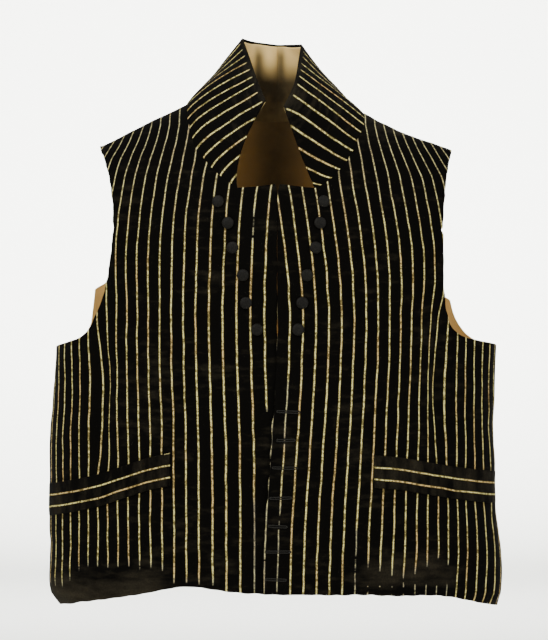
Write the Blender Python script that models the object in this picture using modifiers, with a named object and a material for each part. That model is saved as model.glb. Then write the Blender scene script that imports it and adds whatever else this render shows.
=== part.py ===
"""A man's striped velvet waistcoat of about 1810, filled out with no wearer.

It stands as on a general figure, open at the neck, armholes and hem. Lengths are millimetres
above the centre front hem, behind the centre front edge and out from the centre, and are turned
into metres, measured from the middle between the shoulders, when the points are placed.
"""

import math

import bmesh
import bpy
import numpy as np

MM = 0.001
SHOULDER_HEIGHT = 450.0  # underside of the shoulders, where a wearer carries the waistcoat
SHOULDER_DEPTH = 92.0  # top of the shoulder line, behind the centre front
CHEST_HEIGHT = 290.0  # above this the panels begin to round over to the shoulders
BODY_AXIS = 109.0  # middle of the hollow, behind the centre front
SHOULDER_ROUND = 0.87  # power that squares the way over the shoulder, 1 being an ellipse
SEAM_PAST_RIDGE = 11.0  # degrees behind the shoulder line where front and back are sewn
SEAM_GAP = 0.5  # degrees between front and back at the shoulder seam
SEAM_STRIP = 1.5  # degrees of a narrow last row, so that both walls end square at the shoulder seam
SIDE_STRIP = 0.012  # share of a row that its narrow last step takes, for the same at the side
SIDE_GAP = 0.4  # between front and back at the side seam
SECTION_STEPS = 241  # points along a half section, for measuring along it

VELVET_WALL = 2.0
BACK_WALL = 1.6
COLLAR_WALL = 1.6
LINING_WALL = 1.2
WELT_WALL = 1.8
LAYER_GAP = 0.35

UNDER_LAP = 2.7  # how far the right front's edge is set back, to pass under the left front
UNDER_LAP_OUT = (10, 34)  # all of it nearer the centre than the first, none past the second
UNDER_LAP_HEIGHT = (252, 300)

FRONT_COLUMNS = 20
BACK_COLUMNS = 15
HEM = -100.0  # lower than any hem point, so a row that asks for it lies on the hem
RIDGE = 900.0  # higher than the shoulder line, so a row that asks for it lies on that line
SIDE = 400.0  # wider than the body, so a row that asks for it ends at the side seam

# How the cloth turns from the centre to the side seam: share of the way, degrees turned
FRONT_TURNS = ((0, 3), (0.15, 9), (0.3, 18), (0.45, 30), (0.6, 40), (0.75, 47), (0.88, 60), (1, 90))
BACK_TURNS = ((0, 0), (0.2, 5), (0.4, 13), (0.6, 28), (0.8, 55), (1, 90))

# Body sections: height, half width on the wearer's right and left, depth of side seam, front and back
BODY = (
    (-20, 224.5, 222.0, 130, 5, 216),
    (40, 225.0, 221.5, 130, 2, 212),
    (100, 225.5, 215.5, 131, 0, 210),
    (160, 225.0, 214.0, 132, 0, 211),
    (234, 218.5, 216.0, 132, 2, 215),
    (290, 217.0, 216.0, 132, 4, 218),
)

# Hem line: distance from the centre to the wearer's left, height
HEM_LINE = (
    (-224, -19),
    (-140, -4),
    (-84, 6),
    (-25, 0),
    (40, -1),
    (110, -3),
    (160, -6),
    (200, -15),
    (222, -20),
)

# Shoulder line: distance from the centre, height on the wearer's right and left
SHOULDER_LINE = ((0, 508, 508), (50, 493, 484), (90, 471, 459), (171, 431, 426))

# Rows of the right front: inner edge out from the centre, its height, outer edge, its height
FRONT_RIGHT_ROWS = (
    (-12, HEM, SIDE, HEM),
    (-12, 28, SIDE, 26),
    (-12, 56, SIDE, 52),
    (-12, 84, SIDE, 79),
    (-12, 112, SIDE, 106),
    (-12, 140, SIDE, 133),
    (-12, 168, SIDE, 160),
    (-9, 192, SIDE, 185),
    (-4, 216, SIDE, 210),
    (0.4, 240, SIDE, 234),
    (0.4, 257, 204, 240),
    (0.4, 275, 193, 244),
    (0.4, 294, 184, 252),
    (0.4, 315, 177, 265),
    (0.4, 338, 169.5, 284),
    (0.4, 364, 164.5, 303),
    (0.4, 391, 161.5, 321),
    (19, 388.5, 160, 338),
    (38, 387, 159.4, 354),
    (54, 398, 159.8, 370),
    (63.5, 408, 161, 385),
    (71, 416, 163, 399),
    (79, 428, 166.5, 411),
    (84.5, 445, 170, 421),
    (88, 461, 172.5, 427),
    (89, RIDGE, 173.5, RIDGE),
)

# Rows of the left front, whose lower edge laps over the right front
FRONT_LEFT_ROWS = (
    (-12.4, HEM, SIDE, HEM),
    (-13.6, 28, SIDE, 26),
    (-12.4, 56, SIDE, 52),
    (-10.4, 84, SIDE, 79),
    (-7.3, 112, SIDE, 106),
    (-5.5, 140, SIDE, 133),
    (-3.8, 168, SIDE, 160),
    (-2.3, 192, SIDE, 185),
    (-1.1, 216, SIDE, 211),
    (-0.5, 240, SIDE, 236),
    (0, 257, 197, 241),
    (0, 275, 180, 245.5),
    (0, 294, 170, 254),
    (0, 315, 165, 268),
    (0, 338, 162, 285),
    (0, 364, 160.9, 303),
    (0, 391, 160.7, 321),
    (19, 388.5, 160.7, 338),
    (36, 387, 160.8, 354),
    (47, 393, 161.3, 371),
    (58, 403, 162.5, 387),
    (67, 414, 164.5, 400),
    (74, 427, 166, 411),
    (80, 442, 168, 419),
    (83.5, 452, 169.2, 423),
    (84.2, RIDGE, 170, RIDGE),
)

# Rows of each half of the back: centre or neck edge out from the centre and its height, outer edge
# and its height
BACK_ROWS = {
    "right": (
        (0, HEM, SIDE, HEM),
        (0, 40, SIDE, 40),
        (0, 80, SIDE, 79),
        (0, 120, SIDE, 118),
        (0, 160, SIDE, 157),
        (0, 200, SIDE, 196),
        (0, 240, SIDE, 234),
        (0, 262, 206, 238),
        (0, 284, 194, 246),
        (0, 306, 186.5, 258),
        (0, 328, 184.5, 276),
        (0, 350, 183.5, 292),
        (0, 372, 171, 301),
        (0, 394, 164, 322),
        (0, 416, 160.5, 345),
        (0, 439, 160, 368),
        (0, 462, 162, 389),
        (25, 463, 164, 403),
        (48, 464, 167, 414),
        (68, 465.5, 170.5, 422),
        (82, 467.5, 172.5, 427),
    ),
    "left": (
        (0, HEM, SIDE, HEM),
        (0, 40, SIDE, 40),
        (0, 80, SIDE, 79),
        (0, 120, SIDE, 118),
        (0, 160, SIDE, 158),
        (0, 200, SIDE, 197),
        (0, 240, SIDE, 236),
        (0, 262, 201, 240),
        (0, 284, 190.5, 246),
        (0, 306, 181.5, 257),
        (0, 328, 176.5, 268),
        (0, 350, 173.5, 281),
        (0, 372, 163, 290),
        (0, 394, 158.5, 315),
        (0, 416, 157.5, 342),
        (0, 439, 158, 366),
        (0, 462, 160, 388),
        (25, 462, 162, 401),
        (46, 461, 164.5, 411),
        (64, 459.5, 167, 418),
        (77, 458, 169, 422),
    ),
}
BACK_SEAM_ENDS = {"right": (89, 173.5), "left": (84.2, 170)}  # neck and arm ends of the shoulder seam

# Soft folds below the armholes: side, distance out, width, depth, heights between which it runs
FOLDS = (
    ("right", 172, 9, 6.0, 110, 262),
    ("left", 158, 9, 6.0, 108, 285),
)

COLLAR_START = 30  # the collar begins past the top edges of the fronts, this far from the centre
COLLAR_STEPS = 26  # along each half of the neck seam
COLLAR_ROWS = 6
COLLAR_LIFT = 0.6  # clear of the panels' edges, up along the collar
COLLAR_IN = 0.6  # and in from them
COLLAR_AXIS = 112.0  # middle of the neck hole, behind the centre front

# Free edge of the collar: share of the way from the front end, out, back, height
COLLAR_EDGE = {
    "right": (
        (0.0, 12, 30, 472),
        (0.25, 19, 62, 492),
        (0.5, 28, 99, 520),
        (0.68, 35, 127, 539.5),
        (0.84, 24, 150, 538),
        (1.0, 0, 160, 535.5),
    ),
    "left": (
        (0.0, 6.8, 27, 466),
        (0.1, 11, 42, 476),
        (0.25, 17.5, 62, 494),
        (0.5, 21, 99, 516),
        (0.68, 24, 127, 533.5),
        (0.84, 14, 150, 535),
        (1.0, 0, 160, 535.5),
    ),
}

# How far the collar bows out halfway up: share of the way from the front end, distance
COLLAR_BOW = {
    "right": ((0, 8), (0.5, 7), (0.75, 7), (1, 0)),
    "left": ((0, -1), (0.25, 0), (0.5, 3), (0.75, 2), (1, 0)),
}
COLLAR_BOW_LOW = 0.8  # power below 1 that brings the fullest part of the bow below the middle

# Pocket welts: distance out along the top edge, height of the top edge
WELT_RIGHT_TOP = ((102, 134), (120, 130), (150, 120), (172, 112), (196, 106), (225, 100))
WELT_LEFT_TOP = ((91.5, 132), (113, 130), (135, 126), (155, 122), (176, 118), (215, 112))
WELT_DEPTH = 31.5
WELT_END = 0.985  # share of the way to the side seam
WELT_LIFT_SHARE = (0.6, 0.85)  # the welts stand off a little more where the side turns sharply
WELT_LIFT = (0.1, 0.5)
WELT_STEPS = 16
WELT_ROWS = 3

BUTTON_RADIUS = 6.0
BUTTON_TOP_RADIUS = 5.4
BUTTON_HEIGHT = 4.0
BUTTON_SIDES = 12
BUTTON_EDGE = 1.3

# Button pairs: height, distance out on the wearer's right and left
BUTTONS = (
    (374.0, 56.5, 44.0),
    (353.5, 47.2, 40.4),
    (330.0, 42.8, 36.2),
    (303.5, 32.8, 28.0),
    (277.2, 30.0, 23.4),
    (251.8, 19.5, 19.5),
)

SIGN = {"right": -1.0, "left": 1.0}

# Middle of the hollow and how much height counts against it, to tell the outer side of a sheet
INSIDE_HEIGHT = 200.0
HEIGHT_COUNTS = 0.35


def turned(table):
    """Shares along a half section, and how far out and back it has come by each, of 1."""
    shares, degrees = np.array(table, float).T
    steps = np.linspace(0, 1, SECTION_STEPS)
    angles = np.radians(np.interp(steps, shares, degrees))
    middle = (angles[1:] + angles[:-1]) / 2
    out = np.concatenate(([0], np.cumsum(np.cos(middle))))
    back = np.concatenate(([0], np.cumsum(np.sin(middle))))
    return steps, out / out[-1], back / back[-1]


FRONT = turned(FRONT_TURNS)
BACK = turned(BACK_TURNS)


def column(table, at, index):
    """A value from one column of a table whose first column rises."""
    values = np.array(table, float)
    return float(np.interp(at, values[:, 0], values[:, index]))


def half_width(side, height):
    return column(BODY, height, 1 if side == "right" else 2)


def hem_height(side, out):
    return column(HEM_LINE, SIGN[side] * out, 1)


def shoulder_height(side, out):
    return column(SHOULDER_LINE, out, 1 if side == "right" else 2)


def level_of(side, out, height):
    """0 at the hem, 1 at the chest line and 2 on the shoulder line, for a point on a panel."""
    hem = hem_height(side, out)
    if height <= CHEST_HEIGHT:
        return max(0.0, (height - hem) / (CHEST_HEIGHT - hem))
    rise = (height - CHEST_HEIGHT) / (shoulder_height(side, out) - CHEST_HEIGHT)
    return 1 + math.asin(min(1.0, rise) ** (1 / SHOULDER_ROUND)) / (math.pi / 2)


def share_of(section, side, out, height):
    """Share of the way from the centre to the side seam where a panel is this far out."""
    steps, across, _ = section
    part = min(1.0, abs(out) / half_width(side, height))
    return math.copysign(float(np.interp(part, across, steps)), out)


def depth_of(section, share, height):
    """How far behind the foremost point a section lies, below the chest line."""
    steps, _, back = section
    part = float(np.interp(abs(share), steps, back))
    side, front, rear = (column(BODY, height, index) for index in (3, 4, 5))
    centre = front if section is FRONT else rear
    return centre + (side - centre) * part


def fold_depth(side, out, height):
    """How far in the soft folds below the armhole push the cloth."""
    total = 0.0
    for fold_side, centre, width, depth, low, high in FOLDS:
        if fold_side == side and low < height < high:
            run = math.sin(math.pi * (height - low) / (high - low))
            total += depth * run * math.exp(-(((out - centre) / width) ** 2))
    return total


def under_lap(side, out, height):
    """How far the right front's edge is set back to pass under the left front."""
    if side == "left":
        return 0.0
    beside = np.interp(out, UNDER_LAP_OUT, (1, 0))
    below = np.interp(height, UNDER_LAP_HEIGHT, (1, 0))
    return UNDER_LAP * float(beside * below)


def body_point(section, side, share, level):
    """Point on the outer face of a panel, in millimetres."""
    steps, across, _ = section
    guess = CHEST_HEIGHT * min(level, 1.0)
    part = math.copysign(float(np.interp(abs(share), steps, across)), share)
    out = half_width(side, guess) * part
    hem = hem_height(side, out)
    if level <= 1:
        height = hem + (CHEST_HEIGHT - hem) * level
        depth = depth_of(section, share, height)
    else:
        angle = (level - 1) * math.pi / 2
        rise = math.sin(angle) ** SHOULDER_ROUND
        height = CHEST_HEIGHT + (shoulder_height(side, abs(out)) - CHEST_HEIGHT) * rise
        past = section is FRONT and level > 2
        plane = BACK if past else section
        plane_share = share_of(BACK, side, out, CHEST_HEIGHT) if past else share
        reach = depth_of(plane, plane_share, CHEST_HEIGHT) - SHOULDER_DEPTH
        depth = SHOULDER_DEPTH + reach * abs(math.cos(angle)) ** SHOULDER_ROUND
    if section is FRONT:
        push = fold_depth(side, out, height)
        length = math.hypot(out, BODY_AXIS - depth)
        out -= push * out / max(length, 1.0)
        depth += push * (BODY_AXIS - depth) / max(length, 1.0) + under_lap(side, out, height)
    return (SIGN[side] * out, depth, height)


def place(point):
    """Part coordinates in metres of a point in garment millimetres."""
    return (point[0] * MM, (point[1] - SHOULDER_DEPTH) * MM, (point[2] - SHOULDER_HEIGHT) * MM)


def row_ends(section, side, row):
    """Share and level at the two ends of a row of a panel."""
    inner, inner_height, outer, outer_height = row
    ends = []
    for out, height in ((inner, inner_height), (outer, outer_height)):
        at = min(max(height, 0.0), CHEST_HEIGHT)
        ends.append((share_of(section, side, out, at), level_of(side, abs(out), height)))
    (inner_share, inner_level), (outer_share, outer_level) = ends
    seam = 1 - SIDE_GAP / 2 / half_width(side, 0)
    return inner_share, inner_level, min(outer_share, seam), outer_level


def panel_rows(section, side, table, last_level, columns):
    """Rows of points of a panel, from its hem to the shoulder seam."""
    ends = [row_ends(section, side, row) for row in table]
    inner_share, _, outer_share, _ = ends[-1]
    if section is BACK:
        neck, arm = BACK_SEAM_ENDS[side]
        inner_share = share_of(BACK, side, neck, CHEST_HEIGHT)
        outer_share = share_of(BACK, side, arm, CHEST_HEIGHT)
    for level in (last_level - SEAM_STRIP / 90, last_level):
        ends.append((inner_share, level, outer_share, level))
    across = np.append(np.linspace(0, 1, columns), 1)
    across[-2] = 1 - SIDE_STRIP
    rows = []
    for inner_share, inner_level, outer_share, outer_level in ends:
        shares = inner_share + (outer_share - inner_share) * across
        levels = inner_level + (outer_level - inner_level) * across
        rows.append([body_point(section, side, s, v) for s, v in zip(shares, levels)])
    return rows


def add_rows(mesh, rows):
    """A grid in the mesh with its points moved onto the rows."""
    grid = bmesh.ops.create_grid(mesh, x_segments=len(rows[0]) - 1, y_segments=len(rows) - 1, size=1)
    verts = sorted(grid["verts"], key=lambda vert: (round(vert.co.y, 5), round(vert.co.x, 5)))
    for vert, point in zip(verts, (point for row in rows for point in row)):
        vert.co = place(point)


def face_outward(mesh):
    """Turns the faces so that the sheet's outer side looks away from the body's axis."""
    _, axis, middle = place((0, BODY_AXIS, INSIDE_HEIGHT))
    bmesh.ops.recalc_face_normals(mesh, faces=mesh.faces)
    total = 0.0
    for face in mesh.faces:
        centre = face.calc_center_median()
        away = (centre.x, centre.y - axis, HEIGHT_COUNTS * (centre.z - middle))
        total += face.calc_area() * sum(a * b for a, b in zip(away, face.normal))
    if total < 0:
        bmesh.ops.reverse_faces(mesh, faces=mesh.faces)


def material(name, colour, roughness):
    made = bpy.data.materials.new(name)
    made.use_nodes = True
    shader = made.node_tree.nodes["Principled BSDF"]
    shader.inputs["Base Color"].default_value = (*colour, 1)
    shader.inputs["Roughness"].default_value = roughness
    shader.inputs["Metallic"].default_value = 0.0
    return made


def cloth_object(name, mesh, look, wall, collection):
    """A cloth piece: the sheet in the mesh, thickened inward to its wall."""
    data = bpy.data.meshes.new(name)
    mesh.to_mesh(data)
    mesh.free()
    data.materials.append(look)
    data.shade_smooth()
    piece = bpy.data.objects.new(name, data)
    collection.objects.link(piece)
    shell = piece.modifiers.new("wall", "SOLIDIFY")
    shell.thickness = wall * MM
    shell.offset = -1
    shell.use_quality_normals = True
    return piece


def make_front(side, table, look, collection):
    mesh = bmesh.new()
    seam = 2 + (SEAM_PAST_RIDGE - SEAM_GAP / 2) / 90
    rows = panel_rows(FRONT, side, table, seam, FRONT_COLUMNS)
    add_rows(mesh, rows)
    face_outward(mesh)
    cloth_object("front_" + side, mesh, look, VELVET_WALL, collection)
    return rows


def make_back(look, collection):
    """The back in one piece, its two halves joined down the centre."""
    mesh = bmesh.new()
    seam = 2 - (SEAM_PAST_RIDGE + SEAM_GAP / 2) / 90
    halves = {}
    for side, table in BACK_ROWS.items():
        halves[side] = panel_rows(BACK, side, table, seam, BACK_COLUMNS)
        add_rows(mesh, halves[side])
    bmesh.ops.remove_doubles(mesh, verts=mesh.verts, dist=0.01 * MM)
    face_outward(mesh)
    cloth_object("back", mesh, look, BACK_WALL, collection)
    return halves


def neck_edge(front_rows, back_rows):
    """The neck seam of one side, from the collar's front end to the centre back."""
    edge = [row[0] for row in front_rows if abs(row[0][0]) > COLLAR_START]
    centre = next(i for i, row in enumerate(back_rows) if abs(row[0][0]) > 1) - 1
    return edge + [row[0] for row in reversed(back_rows[centre:])]


def resample(points, count):
    """Points spaced evenly along a line of points."""
    line = np.array(points, float)
    lengths = np.concatenate(([0], np.cumsum(np.linalg.norm(np.diff(line, axis=0), axis=1))))
    at = np.linspace(0, lengths[-1], count)
    return np.stack([np.interp(at, lengths, line[:, axis]) for axis in range(3)], axis=1)


def collar_half(side, neck):
    """Lines of points up one half of the collar, from its front end to the centre back."""
    base = resample(neck, COLLAR_STEPS + 1)
    lines = []
    for step, low in enumerate(base):
        share = step / COLLAR_STEPS
        out, depth, height = (column(COLLAR_EDGE[side], share, index) for index in (1, 2, 3))
        high = np.array((SIGN[side] * out, depth, height))
        inward = np.array((-low[0], COLLAR_AXIS - low[1], 0.0))
        low = low + inward / np.linalg.norm(inward) * COLLAR_IN
        low = low + (high - low) / np.linalg.norm(high - low) * COLLAR_LIFT
        bow = np.array((SIGN[side] * column(COLLAR_BOW[side], share, 1), 0.0, 0.0))
        line = []
        for up in np.linspace(0, 1, COLLAR_ROWS + 1):
            line.append(low + (high - low) * up + bow * math.sin(math.pi * up**COLLAR_BOW_LOW))
        lines.append(line)
    return lines


def make_collar(necks, looks, collection):
    """The velvet collar, and the cotton that faces it inside."""
    right, left = (collar_half(side, necks[side]) for side in ("right", "left"))
    lines = right + left[::-1][1:]
    for name, look, wall, inset in (
        ("collar", looks["velvet"], COLLAR_WALL, 0.0),
        ("collar_lining", looks["cotton"], LINING_WALL, COLLAR_WALL + LAYER_GAP),
    ):
        mesh = bmesh.new()
        add_rows(mesh, lines)
        face_outward(mesh)
        mesh.normal_update()
        moves = [(vert, vert.co - vert.normal * inset * MM) for vert in mesh.verts]
        for vert, target in moves:
            vert.co = target
        cloth_object(name, mesh, look, wall, collection)


def outward_at(side, share, height):
    """Point on a front and the way out of the cloth there, in garment millimetres."""
    out = half_width(side, height) * float(np.interp(share, FRONT[0], FRONT[1]))
    level = level_of(side, out, height)
    point = np.array(body_point(FRONT, side, share, level))
    across = np.array(body_point(FRONT, side, share + 0.01, level)) - point
    up = np.array(body_point(FRONT, side, share, level + 0.01)) - point
    normal = np.cross(across, up) * SIGN[side]
    return point, normal / np.linalg.norm(normal)


def make_welt(side, table, look, collection):
    """A pocket welt lying on its front, made from the front's points moved out."""
    first, last = (share_of(FRONT, side, *end) for end in (table[0], table[-1]))
    rows = []
    for row in range(WELT_ROWS + 1):
        line = []
        for share in np.linspace(first, min(last, WELT_END), WELT_STEPS + 1):
            out = half_width(side, table[0][1]) * float(np.interp(share, FRONT[0], FRONT[1]))
            top = column(table, out, 1)
            point, normal = outward_at(side, share, top - WELT_DEPTH * row / WELT_ROWS)
            lift = LAYER_GAP + np.interp(share, WELT_LIFT_SHARE, WELT_LIFT)
            line.append(point + normal * (WELT_WALL + lift))
        rows.append(line)
    mesh = bmesh.new()
    add_rows(mesh, rows)
    face_outward(mesh)
    cloth_object("pocket_welt_" + side, mesh, look, WELT_WALL, collection)


def make_button(side, number, out, height, look, collection):
    """A cloth-covered button standing just off its front."""
    point, normal = outward_at(side, share_of(FRONT, side, out, CHEST_HEIGHT), height)
    mesh = bmesh.new()
    bmesh.ops.create_cone(
        mesh,
        cap_ends=True,
        segments=BUTTON_SIDES,
        radius1=BUTTON_RADIUS * MM,
        radius2=BUTTON_TOP_RADIUS * MM,
        depth=BUTTON_HEIGHT * MM,
    )
    data = bpy.data.meshes.new(f"button_{side}_{number}")
    mesh.to_mesh(data)
    mesh.free()
    data.materials.append(look)
    data.shade_smooth()
    button = bpy.data.objects.new(data.name, data)
    collection.objects.link(button)
    centre = point + normal * (BUTTON_HEIGHT / 2 + LAYER_GAP)
    button.location = place(centre)
    tilt = math.atan2(math.hypot(normal[0], normal[1]), normal[2])
    button.rotation_euler = (0, tilt, math.atan2(normal[1], normal[0]))
    round_edge = button.modifiers.new("edge", "BEVEL")
    round_edge.width = BUTTON_EDGE * MM
    round_edge.segments = 1
    round_edge.limit_method = "ANGLE"


def main():
    for old in list(bpy.data.objects):
        bpy.data.objects.remove(old)
    collection = bpy.data.collections.new("waistcoat")
    bpy.context.scene.collection.children.link(collection)
    looks = {
        "velvet": material("striped_velvet", (0.018, 0.013, 0.014), 0.85),
        "cotton": material("brown_cotton", (0.42, 0.31, 0.17), 0.9),
        "button": material("button_cloth", (0.012, 0.010, 0.011), 0.8),
    }
    fronts = {
        "right": make_front("right", FRONT_RIGHT_ROWS, looks["velvet"], collection),
        "left": make_front("left", FRONT_LEFT_ROWS, looks["velvet"], collection),
    }
    backs = make_back(looks["cotton"], collection)
    necks = {side: neck_edge(fronts[side], backs[side]) for side in SIGN}
    make_collar(necks, looks, collection)
    make_welt("right", WELT_RIGHT_TOP, looks["velvet"], collection)
    make_welt("left", WELT_LEFT_TOP, looks["velvet"], collection)
    for number, (height, right_out, left_out) in enumerate(BUTTONS, 1):
        make_button("right", number, right_out, height, looks["button"], collection)
        make_button("left", number, left_out, height, looks["button"], collection)


main()
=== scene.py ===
import math

import bmesh
import bpy
import numpy as np
from mathutils import Matrix, Vector


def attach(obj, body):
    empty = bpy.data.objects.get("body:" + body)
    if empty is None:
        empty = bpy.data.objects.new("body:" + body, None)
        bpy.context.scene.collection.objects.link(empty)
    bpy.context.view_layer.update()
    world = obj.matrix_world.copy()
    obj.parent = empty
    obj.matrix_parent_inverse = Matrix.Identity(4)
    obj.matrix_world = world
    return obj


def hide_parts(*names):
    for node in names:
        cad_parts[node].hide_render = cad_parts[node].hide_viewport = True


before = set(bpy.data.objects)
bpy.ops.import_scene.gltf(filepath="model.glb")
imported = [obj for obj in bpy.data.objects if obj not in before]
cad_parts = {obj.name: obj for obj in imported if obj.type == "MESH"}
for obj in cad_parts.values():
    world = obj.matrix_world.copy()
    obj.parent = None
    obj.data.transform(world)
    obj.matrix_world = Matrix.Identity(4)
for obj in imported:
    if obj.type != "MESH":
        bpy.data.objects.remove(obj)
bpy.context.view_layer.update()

MM = 0.001
# lengths are millimetres: out from the centre, behind the foremost point, and above the hem
SHOULDER_HEIGHT = 450.0
SHOULDER_DEPTH = 92.0
CHEST = 290.0
BODY_AXIS = 109.0
SHOULDER_ROUND = 0.87
SEAM_PAST_RIDGE = 11.0
SIGN = {"right": -1.0, "left": 1.0}
HEM, RIDGE, SIDE = -100.0, 900.0, 400.0  # past the hem, the shoulder line and the side, to end there
STRIPE_PITCH = 12.8
FRONT_WALL = 1.8

FRONT_TURNS = ((0, 3), (0.15, 9), (0.3, 18), (0.45, 30), (0.6, 40), (0.75, 47), (0.88, 60), (1, 90))
BACK_TURNS = ((0, 0), (0.2, 5), (0.4, 13), (0.6, 28), (0.8, 55), (1, 90))

# height, half width on the wearer's right and left, depth of side seam, front and back
BODY = (
    (-20, 224.5, 222.0, 130, 5, 216),
    (40, 225.0, 221.5, 130, 2, 212),
    (100, 225.5, 215.5, 131, 0, 210),
    (160, 225.0, 214.0, 132, 0, 211),
    (234, 218.5, 216.0, 132, 2, 215),
    (290, 217.0, 216.0, 132, 4, 218),
)
HEM_LINE = (
    (-224, -19), (-140, -4), (-84, 6), (-25, 0), (40, -1), (110, -3), (160, -6), (200, -15), (222, -20),
)
SHOULDER_LINE = ((0, 508, 508), (50, 493, 484), (90, 471, 459), (171, 431, 426))

# inner edge out from the centre, its height, outer edge, its height
FRONT_ROWS = {
    "right": (
        (-12, HEM, SIDE, HEM), (-12, 28, SIDE, 26), (-12, 56, SIDE, 52), (-12, 84, SIDE, 79),
        (-12, 112, SIDE, 106), (-12, 140, SIDE, 133), (-12, 168, SIDE, 160), (-9, 192, SIDE, 185),
        (-4, 216, SIDE, 210), (0.4, 240, SIDE, 234), (0.4, 257, 204, 240), (0.4, 275, 193, 244),
        (0.4, 294, 184, 252), (0.4, 315, 177, 265), (0.4, 338, 169.5, 284), (0.4, 364, 164.5, 303),
        (0.4, 391, 161.5, 321), (19, 388.5, 160, 338), (38, 387, 159.4, 354), (54, 398, 159.8, 370),
        (63.5, 408, 161, 385), (71, 416, 163, 399), (79, 428, 166.5, 411), (84.5, 445, 170, 421),
        (88, 461, 172.5, 427), (89, RIDGE, 173.5, RIDGE),
    ),
    "left": (
        (-12.4, HEM, SIDE, HEM), (-13.6, 28, SIDE, 26), (-12.4, 56, SIDE, 52), (-10.4, 84, SIDE, 79),
        (-7.3, 112, SIDE, 106), (-5.5, 140, SIDE, 133), (-3.8, 168, SIDE, 160), (-2.3, 192, SIDE, 185),
        (-1.1, 216, SIDE, 211), (-0.5, 240, SIDE, 236), (0, 257, 197, 241), (0, 275, 180, 245.5),
        (0, 294, 170, 254), (0, 315, 165, 268), (0, 338, 162, 285), (0, 364, 160.9, 303),
        (0, 391, 160.7, 321), (19, 388.5, 160.7, 338), (36, 387, 160.8, 354), (47, 393, 161.3, 371),
        (58, 403, 162.5, 387), (67, 414, 164.5, 400), (74, 427, 166, 411), (80, 442, 168, 419),
        (83.5, 452, 169.2, 423), (84.2, RIDGE, 170, RIDGE),
    ),
}
ARMHOLE_ROW, TOP_ROW, COLLAR_ROW = 9, 16, 18  # rows where an edge turns a corner
ROWS_BETWEEN = 8  # fine rows to each row of these tables
FRONT_COLUMNS = 112
BUTTONHOLES = (174.0, 146.3, 120.4, 91.4, 64.8, 40.1, 14.0)  # heights, down the left front's edge

UNDER_LAP = 2.7  # how far the right front's edge is set back, to pass under the left front
UNDER_LAP_OUT, UNDER_LAP_HEIGHT = (10, 34), (252, 300)  # where it fades away
BACK_TUCK = 1.3  # how far the back's side edges go in under the fronts
HEM_CORNER = {"right": 10.0, "left": 5.0}  # how far the side seam is drawn in at the hem
HEM_CORNER_SPAN, LOWEST = 11, -21  # over what height, above and below the lowest point
TOP_NOTCH = 1.7  # how far the two top corners of the fronts fall back from each other
GAPE = 1.0  # how far the left edge stands back between two buttonholes
ARMHOLE_TEAR, TEAR_ROW = 2.3, 17.6  # depth and row of a small tear in the left armhole's edge
HEM_TURNED_UP, HEM_RIDGE = 12.5, 0.45  # height of the turned-up cloth, and how far it stands out
# side, distance out, width, depth, heights between which it runs
UNDERARM_FOLDS = (("right", 172, 9, 6.0, 110, 262), ("left", 158, 9, 6.0, 108, 285))

# how the striped cloth lies: cloth to a stripe from the front edge, out to where, and beyond that
STRIPE_PITCHES = {"right": (13.4, 75, 12.4), "left": (12.5, 205, 14.5)}
STRIPE_DATUM = -15  # length of cloth out from the centre where the first numbers below hold
# height, stripe number at the datum, and how closely the stripes crowd together towards the arm
STRIPE_HANG = {
    "right": (
        (-20, -0.75, 0), (130, -0.8, 0), (260, -1.05, 0), (340, -0.9, -0.15), (395, -0.5, 0.2),
        (415, -0.2, 0.45), (435, 0, 1.35), (450, 0.1, 2),
    ),
    "left": (
        (-20, -0.1, 0), (60, -0.3, -0.1), (140, -0.7, 0.15), (215, -1.05, 0.4), (260, -1.15, 0.4),
        (300, -1, -0.1), (340, -0.65, -0.3), (395, 0, 0), (415, 0.2, 0.75), (435, 0.45, 1.8),
        (450, 0.6, 2.5),
    ),
}
CROWD_START = 60  # length of cloth past which the stripes crowd
# stripe number, and the height at which its straw yarn stops above the hem
STRAW_ENDS = {
    "right": (
        (0, -30), (1, -30), (4, -30), (5, 10), (8, 10), (9, 24), (12, 26), (14, 22), (16, 25), (17, 18),
        (18, 9), (19, 3), (24, 3),
    ),
    "left": (
        (0, -30), (6, -30), (7, 57), (8, 26), (9, 23), (10, 18), (11, 15), (12, 19), (13, 25), (14, 30),
        (15, 25), (16, -30), (24, -30),
    ),
}
# side and number of a stripe that is worn through in places, heights, and the straw left there
WORN_STRIPES = (
    (
        "left", 0,
        (22, 30, 38, 88, 98, 138, 148, 182, 200, 228, 238, 282, 290),
        (0.62, 0.48, 0.64, 0.6, 0.46, 0.5, 0.62, 0.6, 0.2, 0.3, 0.8, 0.8, 0.1),
    ),
    (
        "left", 1,
        (30, 58, 64, 76, 84, 96, 138, 146, 156, 200, 206),
        (0.5, 0.62, 0.34, 0.34, 0.7, 0.85, 0.85, 0.54, 0.64, 0.62, 1),
    ),
    ("right", 1, (168, 180), (0, 1)),
    ("right", 2, (84, 98, 334, 340, 362, 368), (0.58, 1, 1, 0.55, 0.55, 1)),
)

SHOULDER_FADE = ((300, 380, 430), (1, 0.8, 0.71))  # heights, and the straw left there at most
SPECKLED = 7  # the stripe of the left front that goes on in specks down to the hem
HEM_DOTS = (7, 15)  # stripes of the left front that show again as dots on the turned-up hem


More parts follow.
